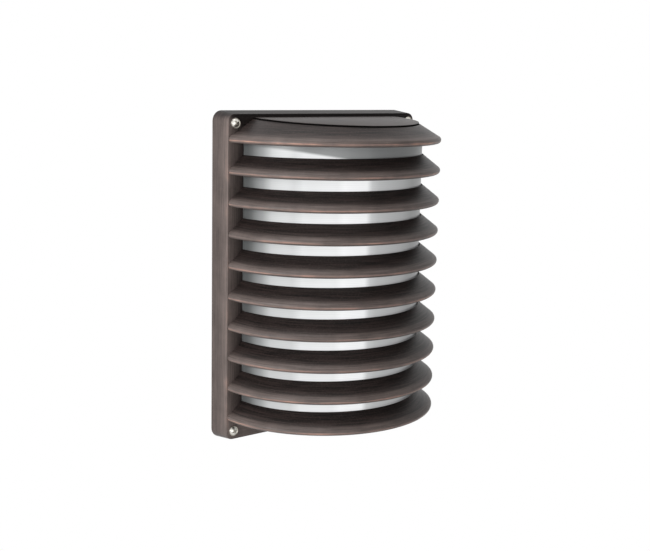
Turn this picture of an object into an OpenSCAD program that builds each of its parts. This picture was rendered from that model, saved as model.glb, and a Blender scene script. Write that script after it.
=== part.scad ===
// Outdoor wall light: a cast louvred cover over an opal diffuser, on a back tray with an E27 lampholder.
// The wall is the plane y = 0, the front of the light faces -Y, and the origin is the middle of its back.
// Distances named "out" are measured forward from the wall.

/* [Cover] */
// Width of the cover's frame
cover_w = 193; // [182:1:235]
// Height of the cover's frame
cover_h = 260; // [232:1:315]
// Depth of the frame, from the wall to its front face
frame_depth = 19; // [18:0.5:23]
// How far the louvres stand out from the frame's face
bulge = 91; // [89:0.5:109.5]
// Thickness of the cast walls
wall = 3; // [2.5:0.1:3.6]
// Corner radius of the frame, seen from the front
corner_r = 8; // [7:0.5:10]
// Rounding of the frame's front edge
front_round = 0.7; // [0.5:0.1:1.2]
// Slope of the frame's sides, which lean in towards the front
frame_draft = 6.7; // [3:0.1:8]
// Gap between the wall and the frame's back edge
skirt_gap = 0.5; // [0.3:0.1:1]

/* [Louvres] */
// Number of louvres
louvre_count = 10; // [8:1:11]
// Height of the frame's top above the nose of the first louvre
top_drop = 20.9; // [19:0.1:25]
// Height of the last louvre's nose above the frame's foot
bottom_drop = 20.4; // [19:0.1:30]
// Radius of the round nose
nose_r = 2.8; // [2:0.1:3]
// Angle of the outer slope above the horizontal
slope_angle = 38; // [34:1:41]
// Angle of the underside above the horizontal
under_angle = 48; // [44:1:50]
// Depth of a louvre, from its nose in to its inner edge
louvre_depth = 13; // [12:0.1:15]
// Casting draft of the top panel and of the diffuser's ends
draft_angle = 2.9; // [1:0.1:4]
// Depth of the top panel's rear edge below the frame's top
panel_drop = 4.6; // [4:0.1:7]
// Height of the step round the top panel
panel_step = 1.2; // [0.6:0.1:1.6]

/* [Diffuser] */
// Gap between the louvres' inner edges and the diffuser, at the louvres' ends
diffuser_gap = 1; // [0.6:0.1:3]
// The same gap at the middle of the front
diffuser_front_gap = 3.3; // [1:0.1:5]
// Wall thickness of the diffuser
diffuser_wall = 2; // [1.5:0.1:3]
// Thickness of the diffuser's flange
flange_t = 2.5; // [2:0.1:3]
// Thickness of the seal in front of the flange
flange_seal_t = 1; // [0.6:0.1:1.5]

/* [Back tray] */
// Thickness of the foam gasket against the wall
wall_gasket_t = 1.5; // [1:0.1:2]
// Thickness of the tray's base
tray_t = 2.5; // [2:0.1:3.2]
// Thickness of the rim that carries the seal
rim_t = 2.5; // [2:0.1:3]
// Clearance between the tray and the cover's skirt
tray_clear = 0.5; // [0.3:0.1:1]
// Distance between the left and right wall screws
wall_screw_dx = 145; // [135:1:147]
// Distance between the upper and lower wall screws
wall_screw_dz = 170; // [150:1:180]
// Diameter of the wall screw holes
wall_screw_hole = 5.5; // [4.5:0.1:6]
// Diameter of the supply cable's hole in the tray
cable_hole = 20; // [16:0.5:24]
// Diameter of the bore in the cable grommet
cable_bore = 9; // [7:0.5:10]

/* [Fasteners] */
// Shank diameter of the cover screws
cover_screw_d = 4; // [3.5:0.1:5]
// Head diameter of the cover screws
cover_head_d = 8; // [7:0.1:8.4]
// Shank diameter of the inner screws
inner_screw_d = 3; // [2.5:0.1:3.5]
// Radial clearance between a screw and its tapped hole
thread_clear = 0.05; // [0.02:0.01:0.1]

/* [Lamp] */
// Diameter of the lamp's globe
globe_d = 60; // [50:1:62]
// Length of the lamp with its cap
lamp_len = 108; // [98:1:116]
// Diameter of the E27 cap
cap_d = 26.4; // [26:0.05:26.4]
// Outer diameter of the lampholder
holder_d = 43; // [40:0.5:46]
// Height of the lampholder
holder_h = 50; // [46:1:54]

/* [Hidden] */
$fn = 64;

// Small overlap that lets joined shapes of one casting share volume
bite = 1;
// Clearance between pieces that rest on each other without touching
seat_gap = 0.3;

// How far the frame's sides have leaned in at a distance out, and the edge of its flat face
function side_lean(out) = (out - skirt_gap) * tan(frame_draft);
frame_lean = side_lean(frame_depth - front_round);
face_edge = frame_lean + front_round;

// Outline of the louvres in plan, as half its width and its depth. It ends just inside the edge of
// the frame's flat face.
louvre_inset = 0.2;
louvre_plan = [cover_w / 2 - face_edge - louvre_inset, bulge];

// Heights of the louvres
first_nose_z = cover_h / 2 - top_drop;
pitch = (cover_h - top_drop - bottom_drop) / (louvre_count - 1);
panel_z = cover_h / 2 - panel_drop;
slope_wall = 3;
panel_ledge = 0.5;

// Opening in the frame's face, and the diffuser that stands in it
face_border = 13.3;
opening_x = louvre_plan[0] - face_border;
diffuser_plan = louvre_plan - [louvre_depth + diffuser_gap, louvre_depth + diffuser_front_gap];
diffuser_top = panel_z - 8.6;
diffuser_foot = -cover_h / 2 + 19;
opening_clear = 1.7;
opening_top = diffuser_top + opening_clear;
opening_foot = diffuser_foot - opening_clear;

// Layers from the wall forward
tray_front = wall_gasket_t + tray_t;
face_inner = frame_depth - wall;
flange_front = face_inner - flange_seal_t;
flange_back = flange_front - flange_t;
rim_seal_t = 1.7;
rim_front = flange_back - seat_gap - rim_seal_t;

// Rim, flange and seals, measured from the opening's edge. The rim stands partly inside it.
rim_in = 1.4;
rim_out = rim_t - rim_in;
flange_out = 4.8;
seal_w = 4.3;

// Screw positions, x then z. The cover screws' bosses stand just inside the frame's skirt.
boss_front = face_inner - seat_gap;
boss_r = cover_screw_d / 2 + 1.4;
cover_screw_inset = wall + side_lean(boss_front) + seat_gap + boss_r;
cover_screw_z_inset = 9;
cover_screw_at = [cover_w / 2 - cover_screw_inset, cover_h / 2 - cover_screw_z_inset];
cover_screw_r = cover_screw_d / 2 - thread_clear;
cover_head_h = 2.5;
screw_seal_r = 0.5;
screw_seal_middle = cover_screw_r + screw_seal_r + 0.05;
seal_pocket_r = screw_seal_middle + screw_seal_r + 0.1;
seal_pocket_depth = 1.2;
boss_floor = tray_front + 1;
clip_x = cover_w / 2 - wall - side_lean(flange_back) - 3.4;
clip_z = [diffuser_foot + 38, (diffuser_top + diffuser_foot) / 2, diffuser_top - 38];
clip_boss_r = 3.2;
clip_screw_r = 1.25;
clip_t = 0.8;
clip_w = 9;
clip_reach = 5.4;

// Reflector and what it carries
reflector_t = 0.8;
reflector_out = tray_front + 14;
reflector_front = reflector_out + reflector_t;
reflector_x = wall_screw_dx / 2 - 6.5;
reflector_top = diffuser_top - 5;
reflector_foot = diffuser_foot + 7;
reflector_r = 6;
reflector_fold = 9;
pillar_r = 4;
foot_screw_at = [24, reflector_foot + 12];
inner_screw_r = inner_screw_d / 2 - thread_clear;
inner_hole_r = inner_screw_d / 2;
pass_hole_r = inner_hole_r + 0.2;
inner_head_r = 2.8;
inner_head_h = 2.2;

// Lampholder and lamp on one vertical axis
lamp_out = reflector_front + globe_d / 2 + 3.2;
bracket_t = 1.5;
bracket_w = 30;
bracket_bend = 1.5;
bracket_top = diffuser_top - 9.3;
bracket_tip = lamp_out + 16;
bracket_foot = bracket_top - 23.5;
bracket_screw_at = [9, bracket_top - 15.5];
holder_screw_x = 8;
holder_top = bracket_top - bracket_t;
holder_foot = holder_top - holder_h;
shell_t = 0.7;
shell_r = cap_d / 2 + 0.08;
shell_h = 26;
shell_foot = holder_foot + 2.5;
socket_r = shell_r + shell_t + 0.1;
socket_top = holder_foot + 31;
cap_h = 23;
contact_z = socket_top - 2.5;
cap_top = contact_z - 3.5;
cap_foot = cap_top - cap_h;
globe_foot = contact_z - lamp_len;
globe_z = globe_foot + globe_d / 2;
housing_r = cap_d / 2 + 0.5;
housing_neck = 5;

// Terminal block, earth point, cable entry and wire pass
terminal_z = -60;
terminal_w = 30;
terminal_h = 17;
terminal_out = tray_front + 1;
terminal_base_d = 8;
terminal_pitch = 10;
insert_out = terminal_out + 5;
insert_r = 2.3;
insert_bore_r = 1.5;
terminal_screw_r = 1.3;
terminal_tower_w = 6.2;
block_screw_at = [terminal_pitch / 2, terminal_z];
block_screw_r = 1.1;
tower_front = terminal_out + 11.4;
earth_at = [36, -60];
earth_boss_r = 5;
earth_boss_out = tray_front + 2.5;
cable_at = [0, -88];
wire_pass_z = holder_foot + 18;
wire_pass_r = 5;
wire_r = 1.1;

// Draws a profile in the x-z plane and extrudes it from one distance out to another
module out(from, to) {
    rotate([90, 0, 0])
        translate([0, 0, from])
            linear_extrude(to - from)
                children();
}

// Turns a profile about an axis that points out of the wall, at x and z
module turned_out(at) {
    translate([at[0], 0, at[1]])
        rotate([90, 0, 0])
            rotate_extrude()
                children();
}

// Turns a profile about the lamp's vertical axis
module turned_lamp() {
    translate([0, -lamp_out, 0])
        rotate_extrude()
            children();
}

module rod(at, r, from, to) {
    translate([at[0], -from, at[1]])
        rotate([90, 0, 0])
            cylinder(r = r, h = to - from);
}

module round_rect(left, right, low, high, r) {
    translate([left + r, low])
        square([right - left - 2 * r, high - low]);
    translate([left, low + r])
        square([right - left, high - low - 2 * r]);
    for (x = [left + r, right - r], z = [low + r, high - r])
        translate([x, z])
            circle(r);
}

// A plan outline is half an ellipse, drawn as three tangent arcs. plan holds half its width and its
// depth. These give the radius of the end arcs and of the middle arc, and the angle where they join.
function end_radius(plan) =
    (norm(plan) - plan[0] + plan[1]) / 2 * norm(plan) / plan[0];
function middle_radius(plan) =
    (norm(plan) + plan[0] - plan[1]) / 2 * norm(plan) / plan[1];
function join_angle(plan) =
    atan2(abs(middle_radius(plan) - plan[1]), abs(plan[0] - end_radius(plan)));

// Carries a profile round a plan outline, and straight back from both ends by root.
// In the profile, x is the distance in from the outline and y is the height.
// The lengths overlap, and each draws its profile larger than the last by skin, which it passes on as
// $grow, so that no two of their curved faces coincide.
module around_plan(plan, root) {
    skin = 0.02;
    lap = 0.5;
    end_r = end_radius(plan);
    middle_r = middle_radius(plan);
    join = join_angle(plan);
    for (side = [0, 1])
        mirror([side, 0, 0]) {
            if (root > 0)
                translate([0, root - frame_depth, 0])
                    rotate([90, 0, 0])
                        linear_extrude(root + lap)
                            translate([plan[0], 0])
                                mirror([1, 0])
                                    let ($grow = -skin)
                                        children();
            translate([plan[0] - end_r, -frame_depth, 0])
                rotate_extrude(start = -join - lap, angle = join + lap)
                    translate([end_r, 0])
                        mirror([1, 0])
                            let ($grow = 0)
                                children();
        }
    translate([0, middle_r - plan[1] - frame_depth, 0])
        rotate_extrude(start = join - 180, angle = 180 - 2 * join)
            translate([middle_r, 0])
                mirror([1, 0])
                    let ($grow = skin)
                        children();
}

// A point of a plan outline moved in by inset, at an angle from the right-hand end
function plan_point(plan, inset, angle) =
    let (join = join_angle(plan), at_end = angle < join || angle > 180 - join)
    let (r = (at_end ? end_radius(plan) : middle_radius(plan)) - inset)
    let (middle_x = at_end ? sign(90 - angle) * (plan[0] - end_radius(plan)) : 0)
    let (middle_y = at_end ? 0 : middle_radius(plan) - plan[1])
    [middle_x + r * cos(angle), middle_y - frame_depth - r * sin(angle)];

// A solid block inside a plan outline moved in by inset, between two heights
module plan_block(plan, inset, low, high, root) {
    band = 24;
    core_in = inset + band / 2;
    around_plan(plan, root)
        translate([inset - $grow, low])
            square([band + 2 * $grow, high - low]);
    translate([0, 0, low])
        linear_extrude(high - low)
            polygon(concat(
                [[plan[0] - core_in, root - frame_depth]],
                [for (angle = [0 : 15 : 180]) plan_point(plan, core_in, angle)],
                [[core_in - plan[0], root - frame_depth]]
            ));
}

// A slab whose top falls towards the front, at height z on the frame's face. lean is its slope.
module leaning_slab(z, thick, lean) {
    reach = bulge + frame_depth;
    translate([0, -frame_depth, z])
        rotate([lean, 0, 0])
            translate([-cover_w, -reach, -thick])
                cube([2 * cover_w, reach + frame_depth, thick]);
}

// Heights of a louvre's two straight faces at the distance x in from its nose, grown by g. They run
// just inside the nose's tangents, so that they cross its circle instead of grazing it.
graze = 0.004;
function slope_height(x, g = 0) =
    (nose_r + g - graze) / cos(slope_angle) + (x - nose_r) * tan(slope_angle);
function under_height(x, g = 0) =
    -(nose_r + g - graze) / cos(under_angle) + (x - nose_r) * tan(under_angle);

// Section of a louvre: a round nose, a straight slope and a web that thins towards the inner edge.
// A reach beyond the louvre's depth carries the slope on inwards.
module louvre_profile(reach = louvre_depth) {
    r = nose_r + $grow - graze;
    edge = louvre_depth + $grow;
    drop = slope_wall / cos(slope_angle);
    translate([nose_r, 0])
        circle(nose_r + $grow);
    polygon(concat(
        [
            [nose_r, 0],
            [nose_r - r * sin(slope_angle), r * cos(slope_angle)],
            [reach + $grow, slope_height(reach + $grow, $grow)]
        ],
        reach > louvre_depth
            ? [[reach + $grow, slope_height(reach) - drop], [edge, slope_height(louvre_depth) - drop]]
            : [],
        [
            [edge, under_height(edge, $grow)],
            [nose_r + r * sin(under_angle), -r * cos(under_angle)]
        ]
    ));
}

// The lower louvres, whose ends stand on the frame's flat face
module louvres() {
    color("#4a403d")
        for (i = [1 : louvre_count - 1])
            translate([0, 0, first_nose_z - i * pitch])
                around_plan(louvre_plan, 0)
                    louvre_profile();
}

// The first louvre, whose slope runs on inwards until the top plane cuts it, and the closed top
module top_louvre() {
    color("#4a403d") {
        intersection() {
            translate([0, 0, first_nose_z])
                around_plan(louvre_plan, 0)
                    louvre_profile(louvre_depth + 9);
            leaning_slab(panel_z - panel_step, cover_h, draft_angle);
        }
        top_closure();
    }
}

// Distance in from the outline at which the first louvre's slope meets the top plane, at an angle
// round the plan. Each pass starts from the last one's answer.
function ledge_inset(angle, passes = 4, inset = louvre_depth) =
    passes == 0
        ? inset
        : ledge_inset(angle, passes - 1, slope_inset(
            panel_z - panel_step - first_nose_z
            + (plan_point(louvre_plan, inset, angle)[1] + frame_depth) * tan(draft_angle)));

function slope_inset(height) = nose_r + (height - nose_r / cos(slope_angle)) / tan(slope_angle);

// Prism inside the line where the slope meets the top plane, moved in by extra
module top_block(extra) {
    outline = [for (angle = [0 : 4 : 180]) plan_point(louvre_plan, ledge_inset(angle) + extra, angle)];
    translate([0, 0, panel_z - 20])
        linear_extrude(30)
            polygon(outline);
}

// Top of the cage: a ledge inside the slope and a panel raised from it, both falling forward by the draft
module top_closure() {
    intersection() {
        top_block(1.2);
        leaning_slab(panel_z - panel_step, wall, draft_angle);
    }
    intersection() {
        top_block(panel_ledge);
        leaning_slab(panel_z, wall, draft_angle);
    }
}

// Section of the frame's edge: x is the distance in from the side, y the distance back from the face
module frame_edge_profile() {
    back = frame_depth - skirt_gap;
    intersection() {
        translate([face_edge, front_round])
            circle(front_round);
        translate([-bite, -bite])
            square([face_edge + bite, front_round + bite]);
    }
    polygon([
        [face_edge, front_round],
        [face_edge, 0],
        [corner_r, 0],
        [corner_r, wall],
        [wall + side_lean(face_inner), wall],
        [wall, back],
        [0, back],
        [frame_lean, front_round]
    ]);
}

// Skirt and rounded front edge of the frame: four straight lengths and four turned corners
module frame_ring() {
    half_x = cover_w / 2;
    half_z = cover_h / 2;
    for (side = [0, 1]) {
        mirror([side, 0, 0])
            translate([half_x, -frame_depth, corner_r - half_z])
                linear_extrude(2 * (half_z - corner_r))
                    mirror([1, 0])
                        frame_edge_profile();
        mirror([0, 0, side])
            translate([corner_r - half_x, -frame_depth, half_z])
                rotate([0, 90, 0])
                    linear_extrude(2 * (half_x - corner_r))
                        frame_edge_profile();
        for (end = [0, 1])
            mirror([0, 0, end])
                mirror([side, 0, 0])
                    translate([half_x - corner_r, -frame_depth, half_z - corner_r])
                        rotate([-90, 0, 0])
                            rotate_extrude(start = -90, angle = 90)
                                translate([corner_r, 0])
                                    mirror([1, 0])
                                        frame_edge_profile();
    }
}

module frame_face() {
    difference() {
        out(face_inner, frame_depth)
            square([cover_w - 2 * corner_r + bite, cover_h - 2 * corner_r + bite], center = true);
        translate([0, -frame_depth - bite, (opening_top + opening_foot) / 2])
            cube([2 * opening_x, 3 * frame_depth, opening_top - opening_foot], center = true);
    }
}

module frame_solid() {
    frame_ring();
    frame_face();
}

module at_cover_screws() {
    for (x = [-1, 1], z = [-1, 1])
        translate([x * cover_screw_at[0], 0, z * cover_screw_at[1]])
            children();
}

module at_clips() {
    for (x = [-1, 1], z = clip_z)
        translate([x * clip_x, 0, z])
            children();
}

// Frame of the cast aluminium cover. The real cover is one casting. Here it is drawn as its frame, its
// top louvre and its lower louvres, which meet face to face, so that the gaps between them stay open.
module cover_frame() {
    color("#4a403d")
        difference() {
            union() {
                frame_solid();
                at_clips()
                    rod([0, 0], clip_boss_r, flange_back, face_inner + bite);
            }
            at_cover_screws() {
                rod([0, 0], cover_screw_d / 2 + 0.15, 0, frame_depth + bite);
                rod([0, 0], seal_pocket_r, frame_depth - seal_pocket_depth, frame_depth + bite);
            }
            at_clips()
                rod([0, 0], clip_screw_r + thread_clear, 0, face_inner + 1.2);
        }
}

// Opal polycarbonate tub behind the louvres, open at the back, with a flange all round
module diffuser() {
    color("#e6e8e8")
        difference() {
            union() {
                tub_block(0, diffuser_top, diffuser_foot, frame_depth - flange_back);
                difference() {
                    out(flange_back, flange_front)
                        round_rect(-opening_x - flange_out, opening_x + flange_out,
                            opening_foot - flange_out, opening_top + flange_out, corner_r);
                    at_cover_screws()
                        rod([0, 0], boss_r + 0.8, 0, frame_depth);
                }
            }
            tub_block(diffuser_wall, diffuser_top - diffuser_wall,
                diffuser_foot + diffuser_wall, frame_depth - flange_back + bite);
        }
}

// Block inside the diffuser's plan outline whose top and foot lean inwards towards the front
module tub_block(inset, top, foot, root) {
    intersection() {
        plan_block(diffuser_plan, inset, foot - 4, top + 4, root);
        leaning_slab(top, cover_h, draft_angle);
        mirror([0, 0, 1])
            leaning_slab(-foot, cover_h, draft_angle);
    }
}

// Flat rubber seal between the diffuser's flange and the back of the frame's face
module diffuser_seal() {
    color("#2b2b2b")
        difference() {
            out(flange_front, face_inner)
                round_rect(-opening_x - seal_w, opening_x + seal_w,
                    opening_foot - seal_w, opening_top + seal_w, corner_r);
            out(0, frame_depth)
                round_rect(-opening_x, opening_x, opening_foot, opening_top, 3);
            at_cover_screws()
                rod([0, 0], boss_r + 1.2, 0, frame_depth);
        }
}

// Sheet-steel tabs, screwed to the cover's bosses, that hold the diffuser's flange
module diffuser_clips() {
    color("#b9bcbe")
        for (side = [0, 1])
            mirror([side, 0, 0])
                for (z = clip_z)
                    difference() {
                        out(flange_back - clip_t, flange_back)
                            translate([clip_x - clip_reach - 1.2, z - clip_w / 2])
                                square([clip_reach + 1.2 + clip_boss_r, clip_w]);
                        rod([clip_x, z], clip_screw_r + 0.2, 0, frame_depth);
                    }
}

module small_screw(at, head_from, tip_to, shank_r, head_r, head_h, forward) {
    translate([at[0], -head_from, at[1]])
        rotate([forward ? 90 : -90, 0, 0]) {
            difference() {
                cylinder(r = head_r, h = head_h);
                for (turn = [0, 90])
                    rotate([0, 0, turn])
                        translate([-head_r * 0.55, -0.35, head_h * 0.45])
                            cube([head_r * 1.1, 0.7, head_h]);
            }
            mirror([0, 0, 1])
                cylinder(r = shank_r, h = tip_to);
        }
}

module clip_screws() {
    color("#c8ccd0")
        at_clips()
            small_screw([0, 0], flange_back - clip_t, clip_t + 4, clip_screw_r, 2.4, 1.6, false);
}

// Stainless pan-head screw with a cross recess, pointing into the wall
module cover_screws() {
    dome_r = 4.6;
    edge = 0.9;
    color("#d9dcdf")
        at_cover_screws() {
            difference() {
                intersection() {
                    rod([0, 0], cover_head_d / 2, frame_depth, frame_depth + cover_head_h);
                    translate([0, -(frame_depth + cover_head_h - dome_r), 0])
                        sphere(r = dome_r);
                }
                for (turn = [0, 90])
                    rotate([0, turn, 0])
                        translate([-2.1, -frame_depth - cover_head_h - bite, -0.45])
                            cube([4.2, bite + 1.5, edge]);
            }
            rod([0, 0], cover_screw_r, boss_floor + 1, frame_depth + 0.2);
        }
}

// O-rings under the heads of the cover screws
module screw_seals() {
    color("#222222")
        at_cover_screws()
            translate([0, seal_pocket_depth - screw_seal_r - frame_depth, 0])
                rotate([90, 0, 0])
                    rotate_extrude()
                        translate([screw_seal_middle, 0])
                            circle(screw_seal_r, $fn = 24);
}

// Foam pad between the tray and the wall
module wall_gasket() {
    margin = 2;
    color("#3c3c3c")
        difference() {
            out(0, wall_gasket_t)
                round_rect(-tray_x() + margin, tray_x() - margin, -tray_z() + margin, tray_z() - margin, 4);
            at_wall_screws()
                rod([0, 0], wall_screw_hole / 2 + 1, -bite, frame_depth);
            rod(cable_at, cable_hole / 2 + 4, -bite, frame_depth);
        }
}

function tray_x() = cover_w / 2 - wall - side_lean(tray_front) - tray_clear;
function tray_z() = cover_h / 2 - wall - side_lean(tray_front) - tray_clear;

module at_wall_screws() {
    for (x = [-1, 1], z = [-1, 1])
        translate([x * wall_screw_dx / 2, 0, z * wall_screw_dz / 2])
            children();
}

// Cast tray on the wall: base, sealing rim, screw bosses and pillars
module back_tray() {
    color("#55504d")
        difference() {
            union() {
                out(wall_gasket_t, tray_front)
                    round_rect(-tray_x(), tray_x(), -tray_z(), tray_z(), corner_r - wall - tray_clear);
                difference() {
                    out(tray_front - bite, rim_front)
                        rim_outline(rim_out);
                    out(0, frame_depth)
                        rim_outline(-rim_in);
                }
                at_cover_screws()
                    rod([0, 0], boss_r, tray_front - bite, boss_front);
                at_wall_screws()
                    rod([0, 0], wall_screw_hole / 2 + 2.3, tray_front - bite, tray_front + 1.5);
                at_pillars()
                    rod([0, 0], pillar_r, tray_front - bite, reflector_out);
                out(tray_front - bite, terminal_out)
                    translate([-terminal_w / 2, terminal_z - terminal_h / 2])
                        square([terminal_w, terminal_h]);
                rod(earth_at, earth_boss_r, tray_front - bite, earth_boss_out);
            }
            at_cover_screws()
                rod([0, 0], cover_screw_d / 2, boss_floor, frame_depth);
            at_wall_screws()
                rod([0, 0], wall_screw_hole / 2, -bite, frame_depth);
            at_pillars()
                rod([0, 0], inner_hole_r, tray_front, frame_depth);
            rod(block_screw_at, block_screw_r + thread_clear, wall_gasket_t + 1, frame_depth);
            rod(earth_at, inner_hole_r, wall_gasket_t + 1, frame_depth);
            rod(cable_at, cable_hole / 2, -bite, frame_depth);
        }
}

// Outline of the sealing rim, at a distance out from the opening's edge
module rim_outline(away) {
    rim_corner = 6.9;
    round_rect(-opening_x - away, opening_x + away, opening_foot - away, opening_top + away,
        rim_corner + away);
}

// Two pillars behind the bracket's screws and one at the reflector's foot, beside the cable entry
module at_pillars() {
    for (x = [-1, 1])
        translate([x * bracket_screw_at[0], 0, bracket_screw_at[1]])
            children();
    translate([foot_screw_at[0], 0, foot_screw_at[1]])
        children();
}

// Rubber seal on the tray's rim, met by the diffuser's flange
module rim_seal() {
    color("#262626")
        difference() {
            out(rim_front, rim_front + rim_seal_t)
                rim_outline(rim_out);
            out(0, frame_depth)
                rim_outline(-rim_in);
        }
}

// Rubber grommet in the tray's cable hole, with a nose towards the terminals
module cable_grommet() {
    hole_r = cable_hole / 2;
    bore_r = cable_bore / 2;
    lip = 3;
    color("#1f1f1f")
        turned_out(cable_at)
            polygon([
                [bore_r, seat_gap],
                [hole_r + lip, seat_gap],
                [hole_r + lip, wall_gasket_t],
                [hole_r, wall_gasket_t],
                [hole_r, tray_front],
                [hole_r + lip, tray_front],
                [hole_r + lip, tray_front + 1.5],
                [bore_r + 3.2, tray_front + 1.5],
                [bore_r + 1.4, tray_front + 6],
                [bore_r, tray_front + 6]
            ]);
}

// White sheet-steel reflector with folded-back edges
module reflector() {
    fold_from = reflector_front - reflector_fold;
    color("#f2f2ee")
        difference() {
            out(fold_from, reflector_front)
                round_rect(-reflector_x, reflector_x, reflector_foot, reflector_top, reflector_r);
            out(0, reflector_out)
                round_rect(-reflector_x + reflector_t, reflector_x - reflector_t,
                    reflector_foot + reflector_t, reflector_top - reflector_t, reflector_r - reflector_t);
            at_pillars()
                rod([0, 0], pass_hole_r, 0, bulge);
            rod([0, wire_pass_z], wire_pass_r, 0, bulge);
        }
}

module reflector_screw() {
    color("#c8ccd0")
        small_screw(foot_screw_at, reflector_front, reflector_t + 8, inner_screw_r,
            inner_head_r, inner_head_h, true);
}

// Rubber bush that carries the wires through the reflector
module wire_grommet() {
    bore_r = 3.2;
    lip = 1.5;
    color("#1f1f1f")
        turned_out([0, wire_pass_z])
            polygon([
                [bore_r, reflector_out - 1],
                [wire_pass_r + lip, reflector_out - 1],
                [wire_pass_r + lip, reflector_out],
                [wire_pass_r, reflector_out],
                [wire_pass_r, reflector_front],
                [wire_pass_r + lip, reflector_front],
                [wire_pass_r + lip, reflector_front + 1],
                [bore_r, reflector_front + 1]
            ]);
}

// Steel strap bent to an angle: one leg on the reflector, the other over the lampholder
module holder_bracket() {
    bend_out = reflector_front + bracket_t + bracket_bend;
    bend_z = bracket_top - bracket_t - bracket_bend;
    color("#bfc3c6")
        difference() {
            translate([-bracket_w / 2, 0, 0])
                rotate([90, 0, 90])
                    linear_extrude(bracket_w)
                        mirror([1, 0]) {
                            translate([reflector_front, bracket_foot])
                                square([bracket_t, bend_z - bracket_foot]);
                            translate([bend_out, bracket_top - bracket_t])
                                square([bracket_tip - bend_out, bracket_t]);
                            intersection() {
                                difference() {
                                    translate([bend_out, bend_z])
                                        circle(bracket_bend + bracket_t);
                                    translate([bend_out, bend_z])
                                        circle(bracket_bend);
                                }
                                translate([reflector_front, bend_z])
                                    square(bracket_bend + bracket_t);
                            }
                        }
            for (x = [-1, 1]) {
                rod([x * bracket_screw_at[0], bracket_screw_at[1]], pass_hole_r, 0, bulge);
                translate([x * holder_screw_x, -lamp_out, bracket_top - 2 * bracket_t])
                    cylinder(r = pass_hole_r, h = 3 * bracket_t);
            }
        }
}

module bracket_screws() {
    color("#c8ccd0")
        for (x = [-1, 1])
            small_screw([x * bracket_screw_at[0], bracket_screw_at[1]], reflector_front + bracket_t,
                bracket_t + reflector_t + 8, inner_screw_r, inner_head_r, inner_head_h, true);
}

// Porcelain lampholder, open at its foot for the E27 cap
module lampholder_body() {
    r = holder_d / 2;
    waist_r = r - 2.5;
    waist_z = holder_foot + 12;
    shoulder_z = holder_top - 9;
    color("#f0ede4")
        difference() {
            turned_lamp()
                polygon([
                    [socket_r, holder_foot],
                    [r - 1, holder_foot],
                    [r, holder_foot + 1],
                    [r, waist_z - 3],
                    [waist_r, waist_z],
                    [waist_r, shoulder_z],
                    [waist_r - 3, holder_top],
                    [0, holder_top],
                    [0, socket_top + 4],
                    [socket_r - 4, socket_top + 4],
                    [socket_r - 4, socket_top],
                    [socket_r, socket_top]
                ]);
            for (x = [-1, 1])
                translate([x * holder_screw_x, -lamp_out, holder_top - 9])
                    cylinder(r = inner_hole_r, h = 9 + bite);
            translate([-3.4, -lamp_out + waist_r - 6, wire_pass_z - 1.7])
                cube([6.8, 8, 3.4]);
        }
}

// Brass screw shell of the lampholder
module lampholder_shell() {
    color("#c9a34e")
        turned_lamp()
            polygon([
                [shell_r, shell_foot],
                [shell_r + shell_t, shell_foot],
                [shell_r + shell_t, shell_foot + shell_h],
                [shell_r, shell_foot + shell_h]
            ]);
}

// Springy centre contact: a strip folded back under its fixing plate
module lampholder_contact() {
    strip = 0.6;
    top = socket_top + 4;
    tip = contact_z + seat_gap;
    color("#c9a34e")
        translate([-3, -lamp_out, 0]) {
            translate([0, -5, top - strip])
                cube([6, 10, strip]);
            translate([0, -5, tip])
                cube([6, strip, top - tip]);
            translate([0, -5, tip])
                cube([6, 8, strip]);
        }
}

module holder_screws() {
    tip = 8;
    color("#c8ccd0")
        for (x = [-1, 1])
            translate([x * holder_screw_x, -lamp_out, bracket_top]) {
                difference() {
                    cylinder(r = inner_head_r, h = inner_head_h);
                    translate([-inner_head_r, -0.35, inner_head_h * 0.5])
                        cube([2 * inner_head_r, 0.7, inner_head_h]);
                }
                mirror([0, 0, 1])
                    cylinder(r = inner_screw_r, h = bracket_t + tip);
            }
}

function terminal_x(i) = (i - 1) * terminal_pitch;

// Three-pole terminal block: a base bar with a tower for each pole
module terminal_block() {
    color("#e9e4d6")
        difference() {
            union() {
                out(terminal_out, terminal_out + terminal_base_d)
                    translate([-terminal_w / 2, terminal_z - terminal_h / 2])
                        square([terminal_w, terminal_h]);
                for (i = [0 : 2])
                    out(terminal_out + terminal_base_d - bite, tower_front)
                        translate([terminal_x(i) - terminal_tower_w / 2, terminal_z - terminal_h / 2 + 1])
                            square([terminal_tower_w, terminal_h - 2]);
            }
            for (i = [0 : 2]) {
                translate([terminal_x(i), -insert_out, terminal_z - terminal_h])
                    cylinder(r = insert_r + thread_clear, h = 2 * terminal_h);
                for (z = [-1, 1])
                    rod([terminal_x(i), terminal_z + z * 5], terminal_screw_r + 0.5, insert_out, frame_depth);
            }
            for (side = [-1, 1])
                rod([side * block_screw_at[0], block_screw_at[1]], block_screw_r + 0.2, 0, frame_depth);
        }
}

module terminal_inserts() {
    color("#d3b15a")
        for (i = [0 : 2])
            difference() {
                translate([terminal_x(i), -insert_out, terminal_z - terminal_h / 2 + 0.5])
                    cylinder(r = insert_r, h = terminal_h - 1);
                translate([terminal_x(i), -insert_out, terminal_z - terminal_h])
                    cylinder(r = insert_bore_r, h = 2 * terminal_h);
                for (z = [-1, 1])
                    rod([terminal_x(i), terminal_z + z * 5], terminal_screw_r + thread_clear, insert_out, frame_depth);
            }
}

module terminal_screws() {
    slot = 0.6;
    front = tower_front - 1;
    color("#c8ccd0")
        for (i = [0 : 2], z = [-1, 1])
            difference() {
                rod([terminal_x(i), terminal_z + z * 5], terminal_screw_r, insert_out + wire_r + seat_gap, front);
                translate([terminal_x(i) - 2, -front - bite, terminal_z + z * 5 - slot / 2])
                    cube([4, bite + slot, slot]);
            }
}

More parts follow.
